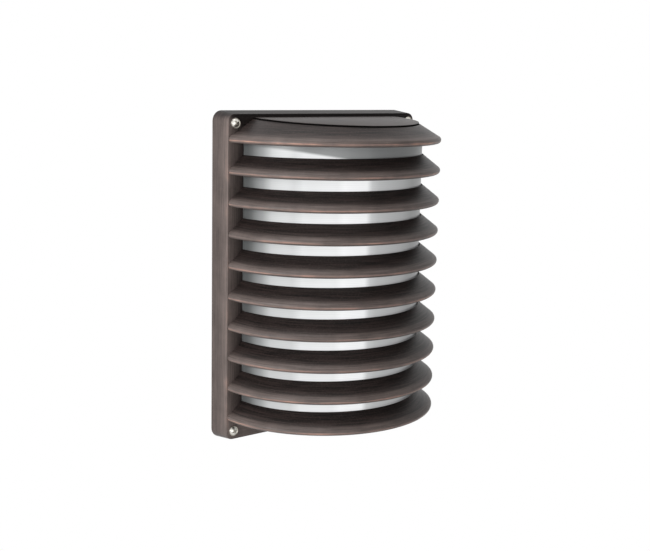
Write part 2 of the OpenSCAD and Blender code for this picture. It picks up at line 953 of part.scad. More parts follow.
module terminal_fixing_screw() {
    seat = terminal_out + terminal_base_d;
    color("#c8ccd0")
        small_screw(block_screw_at, seat, seat - wall_gasket_t - 1.5, block_screw_r, 1.75, 1.4, true);
}

module earth_screw() {
    seat = earth_boss_out + 1;
    color("#d0b35c")
        small_screw(earth_at, seat, seat - wall_gasket_t - 1.5, inner_screw_r, 3, inner_head_h, true);
}

// Ring tag under the earth screw, with a crimped barrel towards the wire
module earth_tag() {
    barrel_r = 1.9;
    color("#d8dadb")
        difference() {
            union() {
                rod(earth_at, 4, earth_boss_out, earth_boss_out + 1);
                out(earth_boss_out, earth_boss_out + 1)
                    translate([earth_at[0] - 1.5, earth_at[1]])
                        square([3, 8]);
                translate([earth_at[0], -earth_boss_out - 1, earth_at[1] + 6.5])
                    cylinder(r = barrel_r, h = 6);
            }
            rod(earth_at, pass_hole_r, 0, frame_depth);
            translate([earth_at[0], -earth_boss_out - 1, earth_at[1] + 8])
                cylinder(r = wire_r + 0.15, h = 8);
        }
}

function bezier(p, t) =
    let (s = 1 - t)
    s * s * s * p[0] + 3 * s * s * t * p[1] + 3 * s * t * t * p[2] + t * t * t * p[3];

function unit(v) = v / norm(v);

function direction(points, i) =
    unit(points[min(i + 1, len(points) - 1)] - points[max(i - 1, 0)]);

// A round tube along a list of points, for an insulated wire. side is a direction that the wire never takes.
module wire(points, side) {
    sides = 8;
    last = len(points) - 1;
    rings = [
        for (i = [0 : last])
            let (d = direction(points, i), u = unit(cross(d, side)), v = cross(d, u))
            for (k = [0 : sides - 1])
                points[i] + wire_r * (cos(360 * k / sides) * u + sin(360 * k / sides) * v)
    ];
    walls = [
        for (i = [0 : last - 1], k = [0 : sides - 1])
            let (a = i * sides + k, b = i * sides + (k + 1) % sides)
            each [[a, a + sides, b], [b, a + sides, b + sides]]
    ];
    start_cap = [for (k = [1 : sides - 2]) [0, k, k + 1]];
    end_cap = [for (k = [1 : sides - 2]) [last * sides, last * sides + k + 1, last * sides + k]];
    polyhedron(points = rings, faces = concat(walls, start_cap, end_cap));
}

// Lead from a terminal up behind the reflector, through the bush and into the lampholder
function holder_lead(pole, x) = [
    for (t = [0 : 0.1 : 1])
        bezier([
            [terminal_x(pole), -insert_out, terminal_z + 2],
            [terminal_x(pole), -insert_out, terminal_z + 50],
            [x, -insert_out, wire_pass_z - 60],
            [x, -insert_out, wire_pass_z - 9]
        ], t),
    for (t = [0.2 : 0.2 : 1])
        bezier([
            [x, -insert_out, wire_pass_z - 9],
            [x, -insert_out, wire_pass_z - 2],
            [x, -insert_out - 3, wire_pass_z],
            [x, -reflector_out + 1, wire_pass_z]
        ], t),
    [x, -lamp_out + holder_d / 2 - 4, wire_pass_z]
];

module live_wire() {
    color("#7a4a2a")
        wire(holder_lead(0, -1.5), [1, 0, 0]);
}

module neutral_wire() {
    color("#3565a8")
        wire(holder_lead(1, 1.5), [1, 0, 0]);
}

module earth_wire() {
    from = [terminal_x(2), -insert_out, terminal_z + 9];
    to = [earth_at[0], -earth_boss_out - 1, earth_at[1] + 14];
    color("#7fae3a")
        wire(concat(
            [from - [0, 0, 7]],
            [for (t = [0 : 0.0625 : 1]) bezier([from, from + [0, 0, 26], to + [0, 0, 24], to], t)],
            [to - [0, 0, 5]]
        ), [0, 1, 0]);
}

// Opal globe of the lamp
module lamp_globe() {
    globe_wall = 1.2;
    r = globe_d / 2;
    color("#f4f3ee")
        translate([0, -lamp_out, globe_z])
            difference() {
                sphere(r = r);
                sphere(r = r - globe_wall);
                translate([-r, -r, 6])
                    cube([2 * r, 2 * r, r]);
            }
}

// White tapered housing between the globe and the cap
module lamp_housing() {
    r = globe_d / 2;
    rim_z = globe_z + 6;
    rim_r = sqrt(r * r - 36);
    color("#e8e8e4")
        turned_lamp()
            polygon([
                [0, rim_z],
                [rim_r, rim_z],
                [rim_r - 1, rim_z + 4],
                [housing_r + 3, cap_foot - housing_neck - 7],
                [housing_r, cap_foot - housing_neck],
                [housing_r, cap_foot],
                [0, cap_foot]
            ]);
}

// E27 cap with its centre contact on a dark insulator
module lamp_cap() {
    color("#cfd2d4")
        turned_lamp()
            polygon([
                [0, cap_foot],
                [cap_d / 2, cap_foot],
                [cap_d / 2, cap_top - 2],
                [cap_d / 2 - 2, cap_top],
                [0, cap_top]
            ]);
}

module lamp_insulator() {
    color("#242424")
        turned_lamp()
            polygon([
                [0, cap_top],
                [cap_d / 2 - 2.5, cap_top],
                [5.2, cap_top + 2.5],
                [0, cap_top + 2.5]
            ]);
}

module lamp_contact() {
    color("#c2b280")
        turned_lamp()
            polygon([
                [0, cap_top + 2.5],
                [4.8, cap_top + 2.5],
                [3.6, contact_z],
                [0, contact_z]
            ]);
}

wall_gasket();
back_tray();
rim_seal();
cable_grommet();
reflector();
reflector_screw();
wire_grommet();
holder_bracket();
bracket_screws();
lampholder_body();
lampholder_shell();
lampholder_contact();
holder_screws();
terminal_block();
terminal_inserts();
terminal_screws();
terminal_fixing_screw();
earth_screw();
earth_tag();
live_wire();
neutral_wire();
earth_wire();
cover_frame();
top_louvre();
louvres();
diffuser();
diffuser_seal();
diffuser_clips();
clip_screws();
cover_screws();
screw_seals();
lamp_globe();
lamp_housing();
lamp_cap();
lamp_insulator();
lamp_contact();
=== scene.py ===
import math

import bmesh
import bpy
from mathutils import Matrix, Vector


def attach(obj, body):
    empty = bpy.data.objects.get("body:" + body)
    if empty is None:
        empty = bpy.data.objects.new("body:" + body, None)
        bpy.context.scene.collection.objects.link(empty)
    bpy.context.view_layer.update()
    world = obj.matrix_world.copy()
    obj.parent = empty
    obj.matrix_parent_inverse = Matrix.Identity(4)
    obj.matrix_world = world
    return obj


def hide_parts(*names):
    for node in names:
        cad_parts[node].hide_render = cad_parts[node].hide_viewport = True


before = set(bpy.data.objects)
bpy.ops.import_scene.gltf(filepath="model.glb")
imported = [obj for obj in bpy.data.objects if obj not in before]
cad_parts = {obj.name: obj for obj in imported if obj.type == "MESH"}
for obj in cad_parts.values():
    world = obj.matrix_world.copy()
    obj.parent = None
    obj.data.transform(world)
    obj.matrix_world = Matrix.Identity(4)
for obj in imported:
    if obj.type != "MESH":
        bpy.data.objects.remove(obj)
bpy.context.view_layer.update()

# Wall gasket: a closed-cell foam pad, die-cut to the tray's outline and squeezed between the tray
# and the wall when the light is screwed up. It is dark grey and dull, with pores of about 1 mm.
MM = 0.001


def linear(colour):
    """sRGB hex to the linear colour that a shader socket takes."""
    parts = [int(colour[i:i + 2], 16) / 255 for i in (1, 3, 5)]
    return [c / 12.92 if c <= 0.04045 else ((c + 0.055) / 1.055) ** 2.4 for c in parts] + [1.0]


def add(tree, kind, inputs=None, **settings):
    """Adds a node with its settings. Inputs are values, or other nodes' outputs to link."""
    node = tree.nodes.new(kind)
    for name, value in settings.items():
        setattr(node, name, value)
    for key, value in (inputs or {}).items():
        if isinstance(value, bpy.types.NodeSocket):
            tree.links.new(value, node.inputs[key])
        else:
            node.inputs[key].default_value = value
    return node


def surface(name, colour, second, grain_mm, roughness, spread=0.08, metallic=0.0, bump=0.15,
            **fixed):
    """A finish in two close colours that change over the grain, with roughness and relief to
    match. spread is how far the roughness changes, and fixed holds other shader inputs."""
    finish = bpy.data.materials.new(name)
    finish.use_nodes = True
    tree = finish.node_tree
    shader = tree.nodes["Principled BSDF"]
    shader.inputs["Metallic"].default_value = metallic
    for key, value in fixed.items():
        shader.inputs[key.replace("_", " ")].default_value = value
    place = add(tree, "ShaderNodeTexCoord")
    grain = add(tree, "ShaderNodeTexNoise", {
        "Vector": place.outputs["Object"], "Scale": 1 / (grain_mm * MM),
        "Detail": 5.0, "Roughness": 0.6})
    tone = add(tree, "ShaderNodeMix", {
        "Factor": grain.outputs["Fac"], "A": linear(colour), "B": linear(second)},
        data_type="RGBA")
    sheen = add(tree, "ShaderNodeMapRange", {
        "Value": grain.outputs["Fac"],
        "To Min": max(roughness - spread, 0.02), "To Max": roughness + spread})
    relief = add(tree, "ShaderNodeBump", {
        "Height": grain.outputs["Fac"], "Strength": bump, "Distance": grain_mm * MM * 0.1})
    tree.links.new(tone.outputs["Result"], shader.inputs["Base Color"])
    tree.links.new(sheen.outputs["Result"], shader.inputs["Roughness"])
    tree.links.new(relief.outputs["Normal"], shader.inputs["Normal"])
    return finish


foam = surface("closed-cell EVA foam", "#3a3b3c", "#2b2c2d", 1.2, 0.9, bump=0.5)
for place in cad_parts["wall_gasket"].material_slots:
    place.material = foam

# Back tray: a gravity die casting in aluminium with a rim for the seal and bosses for every
# screw, under a dark brown powder coat. The seal in its rim and the grommets are moulded rubber.


def fit_piece(name, mesh, finish, body, node):
    if not mesh.materials:
        mesh.materials.append(finish)
    piece = bpy.data.objects.new(name, mesh)
    bpy.context.scene.collection.objects.link(piece)
    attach(piece, body)
    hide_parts(node)
    return piece


def rounded_copy(node, body, finish, sharp=35, weld=0.002):
    """Copies a CAD node with its triangles welded, and its faces shaded smooth except at edges
    sharper than an angle in degrees."""
    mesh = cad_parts[node].data.copy()
    mesh.name = node + "_welded"
    work = bmesh.new()
    work.from_mesh(mesh)
    bmesh.ops.remove_doubles(work, verts=work.verts, dist=weld * MM)
    work.to_mesh(mesh)
    work.free()
    mesh.materials.clear()
    mesh.polygons.foreach_set("use_smooth", [True] * len(mesh.polygons))
    mesh.set_sharp_from_angle(angle=math.radians(sharp))
    return fit_piece(node + "_piece", mesh, finish, body, node)


# Baked powder is satin, with a slight orange peel
tray_coat = surface("brown powder coat", "#3d3431", "#4a403c", 0.9, 0.55, bump=0.35)
rounded_copy("back_tray", "base", tray_coat)
# Moulded rubber is near black and dull
rubber = surface("moulded EPDM rubber", "#191919", "#232323", 0.6, 0.75, bump=0.2)
for seal in ("rim_seal", "cable_grommet", "wire_grommet"):
    rounded_copy(seal, "base", rubber)

# Reflector: 0.8 mm sheet steel with folded edges, held by a screw at its foot and the bracket's
# two at its top. Its white stove enamel is smooth and glossy with a faint waviness, and the
# screw's zinc plate is pale grey and mottled.
enamel = surface("white stove enamel", "#eeeeea", "#f5f5f1", 2.5, 0.28, spread=0.04, bump=0.06)
zinc = surface("zinc-plated steel", "#b4b8bc", "#9ba0a6", 0.5, 0.34, metallic=1.0, bump=0.1)
rounded_copy("reflector", "base", enamel)
rounded_copy("reflector_screw", "base", zinc)

# Lampholder: porcelain with a brass screw shell and a springy centre contact, hung cap up from a
# bent steel strap by two screws. The glaze puts a hard, clear gloss over the porcelain's warm
# white, and the rolled brass is yellow with a soft sheen.
porcelain = surface("glazed porcelain", "#efece2", "#f6f4ec", 6.0, 0.12, spread=0.03, bump=0.03,
                    Coat_Weight=0.4, Coat_Roughness=0.05)
brass = surface("rolled brass", "#c79d45", "#b98f3c", 0.8, 0.3, metallic=1.0, bump=0.08)
rounded_copy("holder_bracket", "base", zinc)
rounded_copy("bracket_screws", "base", zinc)
rounded_copy("lampholder_body", "base", porcelain)
rounded_copy("lampholder_shell", "base", brass)
rounded_copy("lampholder_contact", "base", brass)
rounded_copy("holder_screws", "base", zinc)

# Terminal block and earth point: an ivory moulded block with brass inserts and steel screws, and
# a brass screw with a plated tag. The moulding is creamy and half matt.
moulding = surface("ivory thermoplastic", "#e6e0cf", "#ddd6c3", 1.5, 0.45, bump=0.08)
rounded_copy("terminal_block", "base", moulding)
rounded_copy("terminal_inserts", "base", brass)
rounded_copy("terminal_screws", "base", zinc)
rounded_copy("terminal_fixing_screw", "base", zinc)
rounded_copy("earth_screw", "base", brass)
rounded_copy("earth_tag", "base", zinc)

# Leads: three short single wires in PVC insulation, extruded in one even colour with a soft
# gloss. They run up behind the reflector.
LEAD_SHARP = 60
for lead, slot, colour, second in (
        ("live_wire", "brown_insulation", "#5b3420", "#4f2c1b"),
        ("neutral_wire", "blue_insulation", "#2352a0", "#1c4790"),
        ("earth_wire", "green_yellow_insulation", "#6f9c2b", "#648f25")):
    insulation = surface("PVC insulation of the " + lead.replace("_", " "), colour, second,
                         1.0, 0.35, bump=0.05)
    rounded_copy(lead, "base", insulation, sharp=LEAD_SHARP)

# Lamp: an E27 globe with an opal bulb, a white housing and a nickel-plated cap, screwed up into
# the holder. The bulb is smooth and milky and glows faintly, the housing is satin and the nickel
# is bright.
opal_bulb = surface("opal bulb", "#e6e3da", "#ebe9e1", 5.0, 0.25, spread=0.02, bump=0.02,
                    Emission_Color=linear("#fff6e6"), Emission_Strength=0.08)
lamp_white = surface("white lamp housing", "#e9e9e5", "#f0f0ec", 2.0, 0.4, bump=0.05)
nickel = surface("nickel-plated cap", "#b9babb", "#a7a9ab", 0.7, 0.28, metallic=1.0, bump=0.08)
black_glass = surface("black glass insulator", "#101010", "#181818", 1.0, 0.15, spread=0.03,
                      bump=0.02)
rounded_copy("lamp_globe", "lamp", opal_bulb)
rounded_copy("lamp_housing", "lamp", lamp_white)
rounded_copy("lamp_cap", "lamp", nickel)
rounded_copy("lamp_insulator", "lamp", black_glass)
rounded_copy("lamp_contact", "lamp", zinc)

# Diffuser: an injection-moulded opal polycarbonate tub with a flange that the clips hold. Its
# front's brightness is a painted glow, standing in for the studio's light and reflections on it:
# brightest in an upright band right of the middle, it falls off to grey at both ends, and a
# painted shadow of the closed top ends along a slanting line.
FACE = 19.0  # the cover's face plane, out from the wall
TUB_PLAN = (79.51, 74.7)  # half the tub's width, and how far its front stands out of the face
TUB_FOOT = -107.4  # under side of the tub's foot
opal = bpy.data.materials.new("opal polycarbonate with painted glow")
opal.use_nodes = True
tree = opal.node_tree
shader = tree.nodes["Principled BSDF"]
shader.inputs["Roughness"].default_value = 0.35
place = add(tree, "ShaderNodeTexCoord")
apart = add(tree, "ShaderNodeSeparateXYZ", {"Vector": place.outputs["Object"]})
# The painted glow goes by the way round the tub, in half turns from its right-hand end
forward = add(tree, "ShaderNodeMath", {0: -FACE * MM, 1: apart.outputs["Y"]},
              operation="SUBTRACT")
way = add(tree, "ShaderNodeMath", {0: forward.outputs[0], 1: apart.outputs["X"]},
          operation="ARCTAN2")
half_turns = add(tree, "ShaderNodeMath", {0: way.outputs[0], 1: math.pi}, operation="DIVIDE")
# The foot takes one even level of painted glow, so all of it counts as one place
FOOT_PLACE, FOOT_EDGE = 0.86, 0.6
wall = add(tree, "ShaderNodeMapRange", {
    "Value": apart.outputs["Z"],
    "From Min": TUB_FOOT * MM, "From Max": (TUB_FOOT + FOOT_EDGE) * MM})
place_round = add(tree, "ShaderNodeMix", {
    "Factor": wall.outputs["Result"], "A": FOOT_PLACE, "B": half_turns.outputs[0]},
    data_type="FLOAT")
# Painted glow: how strongly it shows at each place round the tub
PAINTED_GLOW_STOPS = (  # places round the tub, and how strongly each glows
    (0.18, 0.02), (0.36, 0.1), (0.42, 0.22), (0.53, 0.33), (0.556, 0.42), (0.575, 0.72),
    (0.65, 0.72), (0.675, 0.61), (0.78, 0.55), (0.81, 0.37), (0.885, 0.28), (0.915, 0.11),
    (0.96, 0.01))
painted_glow = add(tree, "ShaderNodeValToRGB", {"Fac": place_round.outputs["Result"]})
stops = painted_glow.color_ramp.elements
while len(stops) > 1:
    stops.remove(stops[-1])
for i, (spot, level) in enumerate(PAINTED_GLOW_STOPS):
    stop = stops[0] if i == 0 else stops.new(spot)
    stop.position = spot
    stop.color = (level, level, level, 1.0)
# Painted shade: the moulding is greyed at its left-hand end, which stands in the frame's shade
painted_end_shade = add(tree, "ShaderNodeMapRange", {
    "Value": place_round.outputs["Result"], "From Min": 0.88, "From Max": 0.98})
milk_with_painted_end_shade = add(tree, "ShaderNodeMix", {
    "Factor": painted_end_shade.outputs["Result"], "A": linear("#7e8080"), "B": linear("#4d4f4f")},
    data_type="RGBA")
tree.links.new(milk_with_painted_end_shade.outputs["Result"], shader.inputs["Base Color"])
# Painted shadow of the closed top: it ends at a slanting line that turns level right of the middle
SHADE_SLANT, SHADE_MIDDLE, SHADE_LEVEL, SHADE_SOFT = -0.17, 91.1, 86.2, 1.2
slant = add(tree, "ShaderNodeMath", {
    0: apart.outputs["X"], 1: SHADE_SLANT, 2: SHADE_MIDDLE * MM}, operation="MULTIPLY_ADD")
line = add(tree, "ShaderNodeMath", {0: slant.outputs[0], 1: SHADE_LEVEL * MM},
           operation="MAXIMUM")
above = add(tree, "ShaderNodeMath", {0: apart.outputs["Z"], 1: line.outputs[0]},
            operation="SUBTRACT")
shade = add(tree, "ShaderNodeMapRange", {
    "Value": above.outputs[0], "From Min": -SHADE_SOFT * MM, "From Max": SHADE_SOFT * MM,
    "To Min": 1.0, "To Max": 0.06}, interpolation_type="SMOOTHSTEP")
# Fine lines from the mould run round the tub. At scale 1 the wave has 20 / (2 pi) to a metre
LINE_PITCH = 1.3823
lines = add(tree, "ShaderNodeTexWave", {
    "Vector": place.outputs["Object"], "Scale": 2 * math.pi / 20 / (LINE_PITCH * MM),
    "Distortion": 0.4, "Detail": 1.0}, wave_type="BANDS", bands_direction="Z")
ripple = add(tree, "ShaderNodeMapRange", {
    "Value": lines.outputs["Fac"], "To Min": 0.96, "To Max": 1.03})
# The emission is the painted glow, dimmed under the closed top's painted shadow and rippled by the
# mould lines
painted_glow_under_shade = add(tree, "ShaderNodeMath", {0: painted_glow.outputs["Color"], 1: shade.outputs["Result"]},
            operation="MULTIPLY")
light = add(tree, "ShaderNodeMath", {0: painted_glow_under_shade.outputs[0], 1: ripple.outputs["Result"]},
            operation="MULTIPLY")
shader.inputs["Emission Color"].default_value = linear("#fdfeff")
tree.links.new(light.outputs[0], shader.inputs["Emission Strength"])
relief = add(tree, "ShaderNodeBump", {
    "Height": lines.outputs["Fac"], "Strength": 0.05, "Distance": 0.1 * MM})
tree.links.new(relief.outputs["Normal"], shader.inputs["Normal"])
tub = rounded_copy("diffuser", "cover", opal, weld=0.04).data


def plan_arcs(plan):
    """Radii of the end and middle arcs that draw half an ellipse, and the angle where they join.
    plan is half its width and its depth."""
    wide, deep = plan
    diagonal = math.hypot(wide, deep)
    end_r = (diagonal - wide + deep) / 2 * diagonal / wide
    middle_r = (diagonal + wide - deep) / 2 * diagonal / deep
    return end_r, middle_r, math.atan2(abs(middle_r - deep), abs(wide - end_r))


def tub_normal(point):
    """Normal of the tub's curved wall at a point, from the arc that the point lies on."""
    wide, deep = TUB_PLAN
    end_r, middle_r, join = plan_arcs(TUB_PLAN)
    x, forward = point.x / MM, -point.y / MM - FACE
    turn = math.atan2(forward + middle_r - deep, x)
    if join <= turn <= math.pi - join:
        return Vector((x, -(forward + middle_r - deep), 0)).normalized()
    return Vector((x - math.copysign(wide - end_r, x), -forward, 0)).normalized()


# The moulded wall is one smooth curve, so its normals come from the curve and not the triangles
UPRIGHT, ROOT_CLEAR = 0.03, 0.3
normals = [n.vector.copy() for n in tub.corner_normals]
for face in tub.polygons:
    if abs(face.normal.z) < UPRIGHT and face.center.y < -(FACE + ROOT_CLEAR) * MM:
        side = 1 if face.normal.dot(tub_normal(face.center)) > 0 else -1
        for corner in face.loop_indices:
            point = tub.vertices[tub.loops[corner].vertex_index].co
            normals[corner] = tub_normal(point) * side
tub.normals_split_custom_set(normals)
rounded_copy("diffuser_seal", "cover", rubber)
rounded_copy("diffuser_clips", "cover", zinc)
rounded_copy("clip_screws", "cover", zinc)

# Lower louvres: nine of the cover's ten, part of one gravity die casting in aluminium. Each has a
# round nose, a straight slope and a straight underside, carried round half an ellipse.
LOUVRES, PITCH, FIRST_NOSE = 10, 24.3, 109.1  # heights are those of the noses' centres
LOUVRE_PLAN = (93.51, 91.0)
NOSE_R, SLOPE, UNDER = 2.8, math.radians(38), math.radians(48)
LOUVRE_DEEP, FRONT_EXTRA = 13.7, 0.7
ROOT_BACK = 0.3  # how far the roots reach back into the frame's face
SLOPE_STOPS, UNDER_STOPS = (2.1, 4.0, 8.0), (8.0, 5.3)  # insets of points on the straights
ROOT_ROUND = ((0.15, 0.12), (0.0, 0.5))  # how far from the root, and how far under the slope
NOSE_STEPS = 14
TURN = 1.5  # degrees from one section to the next
STATIONS = [(math.radians(TURN * i), 0.0) for i in range(int(180 / TURN) + 1)]
STATIONS = [(0.0, ROOT_BACK)] + STATIONS + [(math.pi, ROOT_BACK)]  # angles, and how far back
STREAK_LONG, STREAK_WIDE = 30.0, 0.8  # the paint's brush streaks
RUB_REACH, SOFT_RUB = 2.2, 0.46  # how far up the rub fades, and its strength beside the line
# Painted highlight: how far below the nose's centre its line runs, and how wide it is
PAINTED_HIGHLIGHT_BELOW, PAINTED_HIGHLIGHT_WIDE = 0.8, 0.8


def louvre_point(inset, angle):
    """A point of the louvres' outline, moved in by inset, at an angle from the right-hand end."""
    wide, deep = LOUVRE_PLAN
    end_r, middle_r, join = plan_arcs(LOUVRE_PLAN)
    if join <= angle <= math.pi - join:
        middle, r = (0.0, middle_r - deep), middle_r
    else:
        middle, r = (math.copysign(wide - end_r, math.cos(angle)), 0.0), end_r
    return (middle[0] + (r - inset) * math.cos(angle),
            middle[1] - FACE - (r - inset) * math.sin(angle))


def louvre_depth(angle):
    """Depth of a louvre, greatest at the front, where it has the most room behind it."""
    return LOUVRE_DEEP + FRONT_EXTRA * math.sin(angle)


def slope_height(inset, slope=SLOPE):
    """Height of the slope over the nose's centre, tangent to the nose."""
    return NOSE_R / math.cos(slope) + (inset - NOSE_R) * math.tan(slope)


def under_height(inset):
    """Height of the underside, which leaves the nose as a tangent too."""
    return -NOSE_R / math.cos(UNDER) + (inset - NOSE_R) * math.tan(UNDER)


def under_run(root):
    """The straight underside, from the root out to the nose."""
    return [(i, under_height(i)) for i in (root, root - 0.4) + UNDER_STOPS]


def nose_points(slope=SLOPE):
    """The round nose, from its tangent with the underside up to its tangent with the slope."""
    points = []
    for i in range(NOSE_STEPS + 1):
        a = UNDER - math.pi / 2 - (math.pi - slope + UNDER) * i / NOSE_STEPS
        points.append((NOSE_R + NOSE_R * math.cos(a), NOSE_R * math.sin(a)))
    return points


def louvre_section(angle):
    """The whole section at an angle, with a small round where the slope ends at the root."""
    root = louvre_depth(angle)
    slope = [(i, slope_height(i)) for i in SLOPE_STOPS + (root - 0.6,)]
    rounding = [(root - i, slope_height(root) - d) for i, d in ROOT_ROUND]
    return under_run(root) + nose_points() + slope + rounding


def nose_wear_and_painted_highlight(inset, height):
    """Rub round the nose: wear through the paint that also lightens it as painted light, most in a
    line along its lower half, where it is a painted highlight."""
    reach = math.hypot(inset - NOSE_R, height) - NOSE_R
    line = math.exp(-((height + PAINTED_HIGHLIGHT_BELOW) / PAINTED_HIGHLIGHT_WIDE) ** 2) if inset < NOSE_R else 0.0
    return max(0.0, 1.0 - reach / RUB_REACH) * (SOFT_RUB + (1 - SOFT_RUB) * line)


def swept(section, angle, back):
    """Sets a section of insets and heights up at an angle of the outline, moved back."""
    ring = []
    for inset, height in section:
        x, y = louvre_point(inset, angle)
        ring.append((x, y + back, height))
    return ring


def loft(name, rings, rub, path_closed=False, streaks_round=False):
    """Skins a list of rings of points, in millimetres, and closes its ends. rub is kept on the
    points, and so is along, which the paint's streaks follow: from ring to ring, or round each."""
    mesh = bpy.data.meshes.new(name)
    count = len(rings[0])
    points = [[c * MM for c in p] for ring in rings for p in ring]
    faces = []
    for i in range(len(rings) if path_closed else len(rings) - 1):
        a, b = i * count, (i + 1) % len(rings) * count
        for k in range(count):
            faces.append((a + k, b + k, b + (k + 1) % count, a + (k + 1) % count))
    if not path_closed:
        faces.append(tuple(range(count)))
        faces.append(tuple((len(rings) - 1) * count + k for k in reversed(range(count))))
    mesh.from_pydata(points, [], faces)
    mark = mesh.attributes.new("rub", "FLOAT", "POINT")
    mark.data.foreach_set("value", [v for ring in rub for v in ring])
    grid = []
    far = [0.0] * count
    for i, ring in enumerate(rings):
        if i:
            step = math.dist(ring[count // 2], rings[i - 1][count // 2])
            far = [f + step for f in far]
        wide = 0.0
        for k, p in enumerate(ring):
            if k:
                wide += math.dist(p, ring[k - 1])
            run, across = (wide, far[k]) if streaks_round else (far[k], wide)
            grid += [run / STREAK_LONG, across / STREAK_WIDE, 0.0]
    mesh.attributes.new("along", "FLOAT_VECTOR", "POINT").data.foreach_set("vector", grid)
    work = bmesh.new()
    work.from_mesh(mesh)
    bmesh.ops.remove_doubles(work, verts=work.verts, dist=0.001 * MM)
    bmesh.ops.recalc_face_normals(work, faces=work.faces)
    work.to_mesh(mesh)
    work.free()
    mesh.polygons.foreach_set("use_smooth", [True] * len(mesh.polygons))
    mesh.set_sharp_from_angle(angle=math.radians(32))
    return mesh


rings = [swept(louvre_section(a), a, back) for a, back in STATIONS]
louvre = loft("louvre", rings, [[nose_wear_and_painted_highlight(*p) for p in louvre_section(0.0)]] * len(rings))

# Paint of the whole casting: antique rust, near black in the shadows, grey brown in the light,
# and rubbed through to a coppery brown along the noses and the frame's edges. Its rub also
# carries painted light: a painted highlight along the noses, painted light on the frame's sides
# and foot, and painted shade, black and matt, across the frame's top and in the top's groove. The
# brush leaves dull streaks with a fine speckle, drawn coarser than the real one so that it shows.
CLOUD, SPECKLE = 24, 1.3
rust = bpy.data.materials.new("antique rust paint on die-cast aluminium")
rust.use_nodes = True
tree = rust.node_tree
shader = tree.nodes["Principled BSDF"]
place = add(tree, "ShaderNodeTexCoord")
rub_wear_and_painted_light = add(tree, "ShaderNodeAttribute", attribute_name="rub")
along = add(tree, "ShaderNodeAttribute", attribute_name="along")
number = add(tree, "ShaderNodeAttribute", attribute_name="number")
# Streaks run along each louvre and round the frame, and differ from louvre to louvre
offset = add(tree, "ShaderNodeMath", {0: number.outputs["Fac"], 1: 3.7}, operation="MULTIPLY")
brush = add(tree, "ShaderNodeTexNoise", {
    "Vector": along.outputs["Vector"], "W": offset.outputs[0], "Scale": 1.0, "Detail": 4.0,
    "Roughness": 0.6}, noise_dimensions="4D")
cloud = add(tree, "ShaderNodeTexNoise", {
    "Vector": place.outputs["Object"], "Scale": 1 / (CLOUD * MM), "Detail": 3.0,
    "Roughness": 0.55})
speckle = add(tree, "ShaderNodeTexNoise", {
    "Vector": place.outputs["Object"], "Scale": 1 / (SPECKLE * MM), "Detail": 3.0,
    "Roughness": 0.6})
streak = add(tree, "ShaderNodeMapRange", {
    "Value": brush.outputs["Fac"], "From Min": 0.4, "From Max": 0.62})
ground = add(tree, "ShaderNodeMix", {
    "Factor": streak.outputs["Result"], "A": linear("#120f0e"), "B": linear("#332a28")},
    data_type="RGBA")
fleck = add(tree, "ShaderNodeMapRange", {
    "Value": speckle.outputs["Fac"], "From Min": 0.5, "From Max": 0.8, "To Max": 0.32})
flecked = add(tree, "ShaderNodeMix", {
    "Factor": fleck.outputs["Result"], "A": ground.outputs["Result"], "B": linear("#564b48")},
    data_type="RGBA")
# The rub is broken up by the streaks and by cloudy patches a few centimetres across
half_streak = add(tree, "ShaderNodeMapRange", {
    "Value": brush.outputs["Fac"], "From Min": 0.3, "From Max": 0.6, "To Min": 0.6})
patchy = add(tree, "ShaderNodeMapRange", {
    "Value": cloud.outputs["Fac"], "From Min": 0.38, "From Max": 0.62, "To Min": 0.72,
    "To Max": 1.0})
brushed = add(tree, "ShaderNodeMath", {
    0: patchy.outputs["Result"], 1: half_streak.outputs["Result"]}, operation="MULTIPLY")
rub_with_painted_highlight = add(tree, "ShaderNodeMath", {0: rub_wear_and_painted_light.outputs["Fac"], 1: brushed.outputs[0]},
                  operation="MULTIPLY")
# A little rub leaves the paint grey brown, more makes it coppery, and the most gives a painted
# bright highlight
tint = add(tree, "ShaderNodeMapRange", {
    "Value": rub_with_painted_highlight.outputs[0], "From Min": 0.5, "From Max": 0.9})
bared = add(tree, "ShaderNodeMix", {
    "Factor": tint.outputs["Result"], "A": linear("#857873"), "B": linear("#a28174")},
    data_type="RGBA")
painted_highlight_line = add(tree, "ShaderNodeMapRange", {
    "Value": rub_with_painted_highlight.outputs[0], "From Min": 0.82, "From Max": 1.15})
paint_with_painted_highlight = add(tree, "ShaderNodeMix", {
    "Factor": painted_highlight_line.outputs["Result"], "A": bared.outputs["Result"],
    "B": linear("#c49c89")}, data_type="RGBA")
rubbed_paint_and_painted_light = add(tree, "ShaderNodeMix", {
    "Factor": rub_with_painted_highlight.outputs[0], "A": flecked.outputs["Result"],
    "B": paint_with_painted_highlight.outputs["Result"]}, data_type="RGBA")
# A rub below zero is painted shade: black, and matt with no reflection
painted_shade_mask = add(tree, "ShaderNodeMath", {0: rub_wear_and_painted_light.outputs["Fac"], 1: -1.0}, operation="MULTIPLY",
           use_clamp=True)
paint_under_painted_shade = add(tree, "ShaderNodeMix", {
    "Factor": painted_shade_mask.outputs[0], "A": rubbed_paint_and_painted_light.outputs["Result"], "B": linear("#0b0a0a")},
    data_type="RGBA")
painted_shade_matt = add(tree, "ShaderNodeMapRange", {"Value": painted_shade_mask.outputs[0], "To Min": 0.2, "To Max": 0.0})
gloss = add(tree, "ShaderNodeMapRange", {
    "Value": brush.outputs["Fac"], "To Min": 0.5, "To Max": 0.36})
relief = add(tree, "ShaderNodeBump", {
    "Height": speckle.outputs["Fac"], "Strength": 0.12, "Distance": 0.08 * MM})
tree.links.new(paint_under_painted_shade.outputs["Result"], shader.inputs["Base Color"])
tree.links.new(painted_shade_matt.outputs["Result"], shader.inputs["Specular IOR Level"])
tree.links.new(gloss.outputs["Result"], shader.inputs["Roughness"])
tree.links.new(relief.outputs["Normal"], shader.inputs["Normal"])


